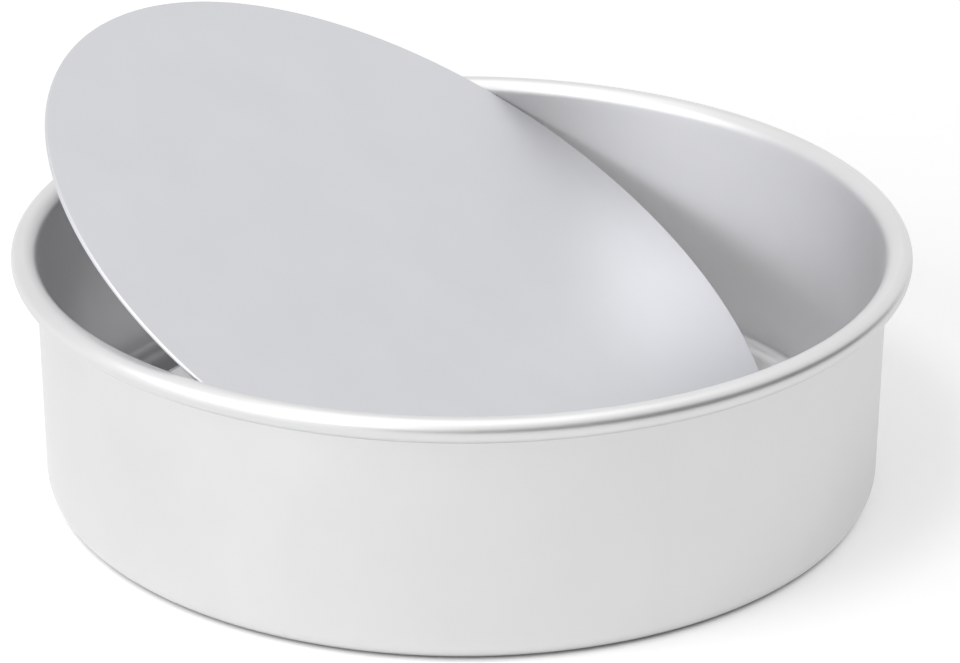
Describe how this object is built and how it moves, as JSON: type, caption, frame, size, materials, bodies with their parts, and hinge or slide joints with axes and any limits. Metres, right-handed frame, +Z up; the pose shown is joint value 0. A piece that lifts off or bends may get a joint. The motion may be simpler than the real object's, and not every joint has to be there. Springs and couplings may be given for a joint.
{
  "type": "round cake tin",
  "caption": "Round straight-sided cake tin with a rolled rim and an open, ledged bottom, its loose flat base leaning inside with one side over the rim.",
  "frame": {"origin": "centre of the tin's underside, on the surface that it stands on", "axes": "+Z up along the tin's axis; the leaning base rises towards -X and its low side is towards +X"},
  "size_m": [0.2708, 0.2708, 0.1261],
  "materials": {
    "tin": "satin silver anodised",
    "base": "satin silver anodised"
  },
  "bodies": {
    "tin": {"tin_body": "tin"},
    "base": {"loose_base": "base"}
  },
  "joints": [
    {"name": "base_lift", "type": "slide", "parent": "tin", "child": "base", "axis": [0, 0, 1], "range_m": [0, 0.1]}
  ]
}
